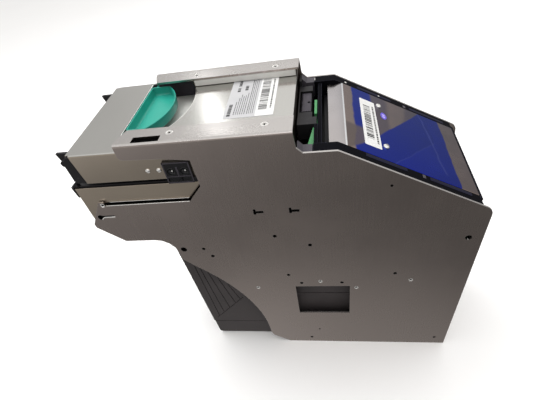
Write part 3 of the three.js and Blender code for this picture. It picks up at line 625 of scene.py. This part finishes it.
def hatch_rails():
    """Navy strips and a grey painted glint in both rails of the hatch frame, and the clip and screws of the
    rear one.
    """
    for name, look, stretches in RAIL_STRIPS:
        bm = bmesh.new()
        for stretch in stretches:
            start, end = ((x - INCLINE_START[0]) / math.cos(INCLINE) for x in stretch)
            for y in (10.2, WIDTH - 10.2):
                middle = on_hatch((start + end) / 2, y, RAIL_LIFT + 0.1)
                block(bm, middle, (end - start, 4.4, 0.4), HATCH_AXES, bevel=0.15)
        piece(f"rail_strips_{name}", bm, look, "hatch")
    bm = bmesh.new()
    block(bm, at(167.9, 132.4, 318.2), (0.7, 6, 0.5), bevel=0.15)
    piece("rail_clip", bm, "screw_steel", "hatch")
    for i, s in enumerate((13, 52), 1):
        dome_rivet(f"rail_screw_{i}", on_hatch(s, WIDTH - 9.5, RAIL_LIFT), HATCH_UP, 1.3, 0.5, "hatch")


cassette_seam_shade()
hatch_rails()

# ---------------------------------------------------------------- side plates: painted shade in the notch gap and behind the holes, edges and wire
HOLE_SHADE_PATCHES = (      # x, z, width and height of the dark patches behind the plate's holes: painted shade
    (-47.5, 258, 20, 9), (111.8, 255.4, 11, 8), (146.4, 255.4, 11, 8), (147.1, 11.4, 6, 6),
    (159, 33.7, 4, 4), (308.2, 15.5, 6, 6), (143.5, 139.6, 6, 6), (189.5, 139.7, 6, 6),
    (246.2, 155.4, 6, 6), (19.2, 204.2, 9, 9), (232.6, 278.9, 4, 4), (42.1, 204.2, 6, 6),
    (49.3, 191.9, 6, 6))
PLATE_WIRES = (     # name, look, slot, radius, and points (x, y in from the plate's outer face, z)
    ("notch_edge", "screw_steel", "side_steel", 0.42, (
        (-40.6, 0.5, 272.65), (4, 0.5, 272.9), (47.6, 0.5, 273.15))),
    ("notch_shadow", "painted_shade", "rubber", 0.6, (
        (47.2, 1.3, 274.3), (62.4, 1.3, 290.3), (62.3, 1.3, 291.8))),
    ("seal_edge", "screw_steel", "side_steel", 0.25, (
        (-36, 2.2, 275.9), (4, 2.2, 276.1), (47.6, 2.2, 276.3))),
    ("spring_end", "screw_steel", "turned_steel", 0.7, (
        (-38.6, 1.0, 257.2), (-40.0, 0.76, 257.2), (-44.0, 0.73, 257.2), (-48.5, 0.73, 257.3),
        (-51.0, 0.76, 256.8), (-52.6, 0.76, 255.7), (-53.8, 0.85, 254.8), (-54.6, 1.4, 254.3))),
)


def plate_details(side, y, inward):
    """What lies on and behind one side plate."""
    bm = bmesh.new()
    # a dark strip in the gap along the notch: painted shade
    block(bm, at(4, y + inward * 2.45, 273.1), (90, 0.7, 3.6), bevel=0.2)
    piece(f"notch_gap_shade_{side}", bm, "painted_shade", "chassis")
    for name, look, slot, radius, route in PLATE_WIRES:
        points = [at(x, y + inward * depth, z) for x, depth, z in route]
        tube(f"{name}_{side}", points, radius, look, "chassis")
    bm = bmesh.new()
    gap = TOP - HEAD_TOP
    strip_middle = at(97, y + inward * (FLANGE_WIDTH - 1.0), HEAD_TOP + gap / 2 - 0.8)
    block(bm, strip_middle, (106, 1.8, gap - 2.8), bevel=0.3)
    piece(f"glide_strip_{side}", bm, "light_paint", "chassis")
    bm = bmesh.new()
    # dark patches behind the holes: painted shade
    for x, z, w, h in HOLE_SHADE_PATCHES:
        block(bm, at(x, y + inward * 1.7, z), (w, 0.5, h), bevel=0.1)
    piece(f"hole_shade_{side}", bm, "painted_shade", "chassis")


def latch_slot_shade():
    """A dark block in the latch slot of the front flange: painted shade."""
    bm = bmesh.new()
    block(bm, at(26.8, 9.2, 334.7), (30, 13.4, 5.2), bevel=0.5)
    piece("latch_slot_shade", bm, "painted_shade", "chassis")


latch_slot_shade()
for side in SIDES:
    plate_details(*side)

# ---------------------------------------------------------------- handle and recess
HANDLE = dict(left=-6.3, near=36, far=121.6, cx=-33.7, cy=79, r=64.1)
HANDLE_PROFILE = (      # inset, z: up the outer wall, over the rim, down the inner wall, and the floor
    (3.2, 323.2), (1.9, 323.24), (1.25, 323.5), (1.0, 324.0), (0.9, 324.8), (0.25, 331.8), (0.22, 332.5),
    (0.34, 332.85), (0.6, 333.0), (1.2, 333.0), (1.45, 332.85), (1.56, 332.5), (1.6, 331.8), (2.3, 327.4),
    (2.5, 326.4), (2.9, 325.6), (3.6, 325.15), (4.8, 325.0), (9.0, 324.95))
HANDLE_PINS = ((24.9, 37.2), (120.4, 135.1))      # from y to y
RECESS = dict(left=-9.2, near=26, far=134, cx=-40, cy=85.3, r=89.1)
RECESS_FLOOR = ((0.5, 314.02), (0.4, 314.2), (0.5, 314.5), (0.8, 314.6))
RECESS_LIP = ((0.15, 330.6), (-0.5, 330.9), (-0.45, 331.1), (-0.1, 331.2), (0.25, 331.05), (0.3, 330.6))


def handle_cup():
    """The green cup with its two hinge pins."""
    bm = bmesh.new()
    bow_loft(bm, HANDLE, 3.0, HANDLE_PROFILE)
    for start, end in HANDLE_PINS:
        length = end - start
        profile = [(0.95, 0.0), (1.2, 0.25), (1.2, length - 0.25), (0.95, length)]
        lathe(bm, at(-4.3, start, 328), axes_for((0, 1, 0)), profile, 16)
    handle = piece("handle_cup", bm, "handle_green", "handle", smooth=50)
    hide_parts("handle")


def recess_pieces():
    """The painted floor of the recess and the bright lip round its edge."""
    bm = bmesh.new()
    bow_loft(bm, RECESS, 2.0, RECESS_FLOOR)
    piece("recess_plate", bm, "light_paint", "head")
    bm = bmesh.new()
    bow_loft(bm, RECESS, 2.0, RECESS_LIP, closed=True)
    piece("recess_lip", bm, "screw_steel", "head", smooth=60)


handle_cup()
recess_pieces()

# ---------------------------------------------------------------- side lock blocks
BLOCK_RIBS = (      # x, z, width, height
    (35.3, 307, 1.2, 22.6), (59.2, 307, 1.2, 22.6), (47.2, 317.7, 25, 1.2), (47.2, 296.3, 25, 1.2),
    (47.2, 308.5, 1.6, 10), (47.2, 303.2, 22, 0.9))
SOCKET_PROFILE = (
    (4.15, -1.1), (4.15, -0.1), (4.05, 0.05), (3.85, 0.1), (3.6, 0.0), (3.45, -0.9), (2.6, -1.1),
    (2.35, -0.9), (2.1, -0.3), (1.5, 0.0), (0.7, 0.1), (0.2, 0.12))


def lock_block(side, y, inward):
    """Ribs, two round sockets and their bright studs on one side block of the head."""
    face = y + inward * 0.4
    outward = (0, -inward, 0)
    bm = bmesh.new()
    for x, z, w, h in BLOCK_RIBS:
        block(bm, at(x, face - inward * 0.05, z), (w, 0.4, h), bevel=0.15)
    piece(f"side_block_ribs_{side}", bm, "grey_plastic", "head")
    for i, x in enumerate((41, 53.4), 1):
        bm = bmesh.new()
        lathe(bm, at(x, face, 308.5), axes_for(outward), SOCKET_PROFILE, 32)
        piece(f"socket_{side}_{i}", bm, "gloss_black", "head")
        stud = at(x + 1.3, face + inward * 0.1, 309.3)
        dome_rivet(f"socket_stud_{side}_{i}", stud, outward, 0.8, 0.35, "head")


for side in SIDES:
    lock_block(*side)

# ---------------------------------------------------------------- guide pad
PAD_BUMP = ((0.42, -0.1), (0.40, 0.08), (0.26, 0.22), (0.06, 0.27))
BUMP_ROWS, BUMPS_IN_ROW, BUMP_PITCH = 7, 27, 1.35
PAD_GAP_SHADE = (       # x, y, width, depth of the dark lines in the gaps round the pad: painted shade
    (154.2, 89.5, 0.9, 40.2), (165.6, 89.5, 0.9, 40.2), (159.9, 70.0, 12, 0.9), (159.9, 109.6, 12, 1.6))


def guide_pad():
    """The pad with its small bumps, and dark lines and dots round it that paint the shade in its gaps and
    small holes.
    """
    corner, far_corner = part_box("guide_pad")
    size = (far_corner - corner) / MM
    top = far_corner.z - 0.3 * MM
    bm = bmesh.new()
    middle = (corner + far_corner) / 2 - Vector((0, 0, 0.15 * MM))
    block(bm, middle, (size.x, size.y, size.z - 0.3), bevel=0.6)
    for i in range(BUMP_ROWS):
        for j in range(BUMPS_IN_ROW):
            x = corner.x + (1.05 + i * BUMP_PITCH) * MM
            y = corner.y + (1.5 + j * BUMP_PITCH) * MM
            lathe(bm, Vector((x, y, top)), IDENTITY, PAD_BUMP, 8)
    pad = piece("guide_pad_dotted", bm, "grey_plastic", "chassis")
    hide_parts("guide_pad")

    bm = bmesh.new()
    for x, y, w, h in PAD_GAP_SHADE:
        block(bm, at(x, y, 316.35), (w, h, 0.3), bevel=0.08)
    # dark dots in the pad's small holes: painted shade
    shaded_holes = [(corner.x + 0.9 * MM, corner.y + (1.6 + k * 2.45) * MM, 0.75) for k in range(15)]
    shaded_holes += [(corner.x + (3.2 + k * 2.3) * MM, corner.y + 1.6 * MM, 0.7) for k in range(3)]
    shaded_holes.append((far_corner.x - 2.6 * MM, (corner.y + far_corner.y) / 2, 1.4))
    for x, y, r in shaded_holes:
        lathe(bm, Vector((x, y, top)), IDENTITY, [(r, 0.0), (r, 0.30), (r * 0.8, 0.36), (0.1, 0.36)], 12)
    piece("guide_pad_shade", bm, "painted_shade", "chassis")


guide_pad()

# ---------------------------------------------------------------- rear connector and panel screws
PIN_ROWS, PINS_IN_ROW, PIN_PITCH, ROW_PITCH = 2, 12, 2.64, 7
PIN_PROFILE = ((0.5, 0), (0.5, 2.6), (0.35, 3.1), (0.1, 3.3))
bm = bmesh.new()
for row in range(PIN_ROWS):
    for k in range(PINS_IN_ROW):
        foot = at(317.4, 55.5 + k * PIN_PITCH, 41.5 + row * ROW_PITCH)
        lathe(bm, foot, axes_for((1, 0, 0)), PIN_PROFILE, 8)
piece("connector_pins", bm, "brass", "chassis")
for i, (y, z) in enumerate(((9, 20), (131, 20), (9, 224), (131, 224)), 1):
    dome_rivet(f"panel_screw_{i}", at(321.2, y, z), (1, 0, 0), 2.6, 0.5, "chassis", drive=True)

# ---------------------------------------------------------------- labels
LABEL_THICK = 0.12
INK_THICK = 0.03


def label(name, centre, axes, w, h, material, body):
    """A label with round corners, w by h mm."""
    bm = bmesh.new()
    slab(bm, round_rect(w, h, 1.2), axes, centre, LABEL_THICK)
    return piece(name, bm, material, body)


def ink_bar(bm, centre, axes, u, v, w, h):
    """A printed bar on a label's face, from (u, v), w by h mm."""
    outline = [(u, v), (u + w, v), (u + w, v + h), (u, v + h)]
    slab(bm, outline, axes, centre + axes @ Vector((0, 0, LABEL_THICK * MM)), INK_THICK)


def bars(name, centre, axes, w, h, body, pitch):
    """Plain printed bars across w, stacked along h."""
    bm = bmesh.new()
    v = -h / 2
    while v < h / 2 - 0.4:
        thick = random.choice((0.35, 0.35, 0.6, 0.9, 1.3)) * pitch
        ink_bar(bm, centre, axes, -w / 2, v, w, thick)
        v += thick + random.choice((0.4, 0.5, 0.8, 1.1)) * pitch
    return piece(name, bm, "ink", body)


def ruled_lines(name, centre, axes, rows, body):
    """Short dashes that stand for print. rows holds (u, v start, v end, width)."""
    bm = bmesh.new()
    for u, start, end, width in rows:
        v = start
        while v < end:
            dash = min(random.uniform(1.2, 3.6), end - v)
            if dash > 0.4:
                ink_bar(bm, centre, axes, u, v, width, dash)
            v += dash + min(width * 0.8, 1.0)
    return piece(name, bm, "ink", body)


def head_label():
    """A foil label with a white field of bars along its right side."""
    foil = at(109.5, 85.5, HEAD_TOP)
    white = at(124.3, 85.5, HEAD_TOP + LABEL_THICK)
    label("head_label", foil, IDENTITY, 47, 84, "foil", "head")
    label("head_label_white", white, IDENTITY, 16.8, 83, "paper", "head")
    bars("head_label_bars", at(121.8, 85.5, HEAD_TOP + LABEL_THICK), IDENTITY, 8.2, 62, "head", 1.3)
    ruled_lines("head_label_number", white, IDENTITY, [(4.2, -29, 29, 1.5)], "head")
    ruled_lines("head_label_print", foil, IDENTITY, [
        (-20.5, -38, -16, 3.4), (-14.5, -36, -12, 0.8), (-12.3, -36, -4, 0.6), (-10.4, -36, 2, 0.6),
        (-8.4, -36, -2, 0.6), (-6.4, -36, 0, 0.6), (-4.4, -36, 4, 0.6), (-2.0, -36, 36, 0.7),
        (-0.2, -36, 30, 0.5), (1.6, -36, 33, 0.5), (3.4, -36, 36, 0.5), (-16.5, 8, 16, 3.0),
        (-16.5, 20, 31, 3.0), (-9.0, 10, 20, 3.2)], "head")


def hatch_label():
    """A white label of bars and a number line."""
    centre = on_hatch(35.5, 68)
    label("hatch_label", centre, HATCH_AXES, 16.8, 82, "paper", "hatch")
    bars("hatch_label_bars", on_hatch(34.0, 69), HATCH_AXES, 7.4, 60, "hatch", 1.5)
    ruled_lines("hatch_label_number", centre, HATCH_AXES, [(4.6, -34, 32, 1.8)], "hatch")


def hatch_sticker():
    """A small violet sticker, an oval with slightly pointed ends, and its two pale marks."""
    outline = []
    for i in range(32):
        turn = 2 * math.pi * i / 32
        outline.append((3.4 * math.cos(turn) * abs(math.cos(turn)) ** 0.25, 6.4 * math.sin(turn)))
    bm = bmesh.new()
    slab(bm, outline, HATCH_AXES, on_hatch(52.8, 90), LABEL_THICK)
    piece("hatch_sticker", bm, "violet", "hatch")
    bm = bmesh.new()
    for v in (-2.0, 1.6):
        slab(bm, round_rect(3.4, 2.6, 1.0), HATCH_AXES, on_hatch(52.8, 90 + v, LABEL_THICK), 0.04)
    piece("hatch_sticker_marks", bm, "lilac", "hatch")


head_label()
hatch_label()
hatch_sticker()

# ---------------------------------------------------------------- camera
CAMERA_PLACE = (0.055916, -0.33108, 0.498585)
CAMERA_TURN = (43.18967, 8.88531, 5.71634)      # degrees about x, y and z
camera_data = bpy.data.cameras.new("camera")
camera_data.lens = 24.292
camera_data.sensor_width = 36.0
camera_data.shift_x = 0.0262
camera_data.shift_y = 0.0686
camera_data.clip_start = 0.01
camera = bpy.data.objects.new("camera", camera_data)
camera.rotation_euler = Euler([math.radians(turn) for turn in CAMERA_TURN])
camera.location = CAMERA_PLACE
bpy.context.scene.collection.objects.link(camera)
bpy.context.scene.camera = camera


# ---------------------------------------------------------------- floor
def white_floor():
    """A wide white sheet just under the object, which lights and darkens nothing."""
    bm = bmesh.new()
    bmesh.ops.create_grid(bm, x_segments=1, y_segments=1, size=6.0)
    mesh = bpy.data.meshes.new("floor")
    bm.to_mesh(mesh)
    bm.free()
    floor = bpy.data.objects.new("floor", mesh)
    floor.location = (0, 0, low.z - 0.0002)
    paper = Nodes("floor_paper")
    tone = paper.noise(3.0, 2.0)
    white = paper.mix(tone, (0.90, 0.90, 0.90), (0.93, 0.93, 0.93))
    mesh.materials.append(paper.finish(white, paper.span(tone, 0, 1, 0.8, 0.9)))
    bpy.context.scene.collection.objects.link(floor)
    floor.visible_glossy = False
    floor.visible_diffuse = False
    floor.visible_shadow = False


white_floor()

# ---------------------------------------------------------------- studio round the object
STUDIO = (      # z of the direction, and how bright it is there
    (-1.0, 0.42), (-0.86, 0.40), (-0.80, 0.32), (-0.77, 0.15), (-0.70, 0.115), (-0.60, 0.145), (-0.50, 0.15),
    (-0.34, 0.37), (-0.16, 0.48), (0.02, 0.31), (0.18, 0.56), (0.45, 0.84), (1.0, 0.95))
WARMTH = (1.0, 0.985, 0.965)
world = bpy.data.worlds.new("studio")
bpy.context.scene.world = world
world.use_nodes = True
tree = world.node_tree
background = tree.nodes["Background"]


def world_math(kind, a, b):
    node = tree.nodes.new("ShaderNodeMath")
    node.operation = kind
    for socket, value in zip(node.inputs, (a, b)):
        if isinstance(value, float):
            socket.default_value = value
        else:
            tree.links.new(value, socket)
    return node.outputs["Value"]


def world_span(value, low_in, high_in, low_out, high_out):
    node = tree.nodes.new("ShaderNodeMapRange")
    for key, limit in zip(SPAN_SOCKETS, (low_in, high_in, low_out, high_out)):
        node.inputs[key].default_value = limit
    tree.links.new(value, node.inputs["Value"])
    return node.outputs["Result"]


def studio_colour(z):
    """Bands of light and dark by height."""
    ramp = tree.nodes.new("ShaderNodeValToRGB")
    tree.links.new(world_span(z, -1.0, 1.0, 0.0, 1.0), ramp.inputs["Fac"])
    elements = ramp.color_ramp.elements
    while len(elements) < len(STUDIO):
        elements.new(0.5)
    for element, (height, value) in zip(elements, STUDIO):
        element.position = (height + 1) / 2
        element.color = (*(value * share for share in WARMTH), 1)
    return ramp.outputs["Color"]


def studio_strength(x, z):
    """1, but below the horizon more on the left, and in a band above it less on the left than on the right."""
    below = world_span(z, -0.3, 0.0, 1.0, 0.0)
    lean = world_math("MAXIMUM", world_math("MULTIPLY", x, -1.6), world_math("MULTIPLY", x, -0.35))
    lean = world_math("MULTIPLY", below, world_math("MINIMUM", lean, 0.8))
    wall = world_math("MULTIPLY", world_span(z, 0.2, 0.33, 0.0, 1.0), world_span(z, 0.6, 0.8, 1.0, 0.0))
    wall = world_math("MULTIPLY", wall, world_span(x, -0.5, -0.15, -0.24, 0.22))
    return world_math("ADD", world_math("ADD", lean, wall), 1.0)


direction = tree.nodes.new("ShaderNodeTexCoord").outputs["Generated"]
parts = tree.nodes.new("ShaderNodeSeparateXYZ")
tree.links.new(direction, parts.inputs[0])
tree.links.new(studio_colour(parts.outputs["Z"]), background.inputs["Color"])
tree.links.new(studio_strength(parts.outputs["X"], parts.outputs["Z"]), background.inputs["Strength"])


# ---------------------------------------------------------------- lights
def area_light(name, location, target, size, power, glossy=True, diffuse=True):
    """A rectangular light aimed at target, which reflections or matt surfaces may leave out."""
    data = bpy.data.lights.new(name, "AREA")
    data.shape = "RECTANGLE"
    data.size, data.size_y = size
    data.energy = power
    light = bpy.data.objects.new(name, data)
    light.location = location
    aim = Vector(target) - Vector(location)
    light.rotation_euler = aim.to_track_quat("-Z", "Y").to_euler()
    light.visible_glossy = glossy
    light.visible_diffuse = diffuse
    bpy.context.scene.collection.objects.link(light)


area_light("key", (-0.55, 0.35, 1.25), (0, 0, 0.15), (0.9, 0.9), 10, glossy=False)
area_light("overhead", (0.1, 0.3, 2.4), (0, 0.2, 0), (3.0, 3.0), 30, glossy=False)
area_light("strip", (-0.388, 0.98, 0.892), (-0.053, -0.004, 0.334), (0.055, 0.185), 0.14)
area_light("bend", (0.0, -1.0, 1.35), (0, 0, 0.33), (1.8, 0.16), 1.6, diffuse=False)

view = bpy.context.scene.view_settings
view.view_transform = "Standard"
view.look = "None"
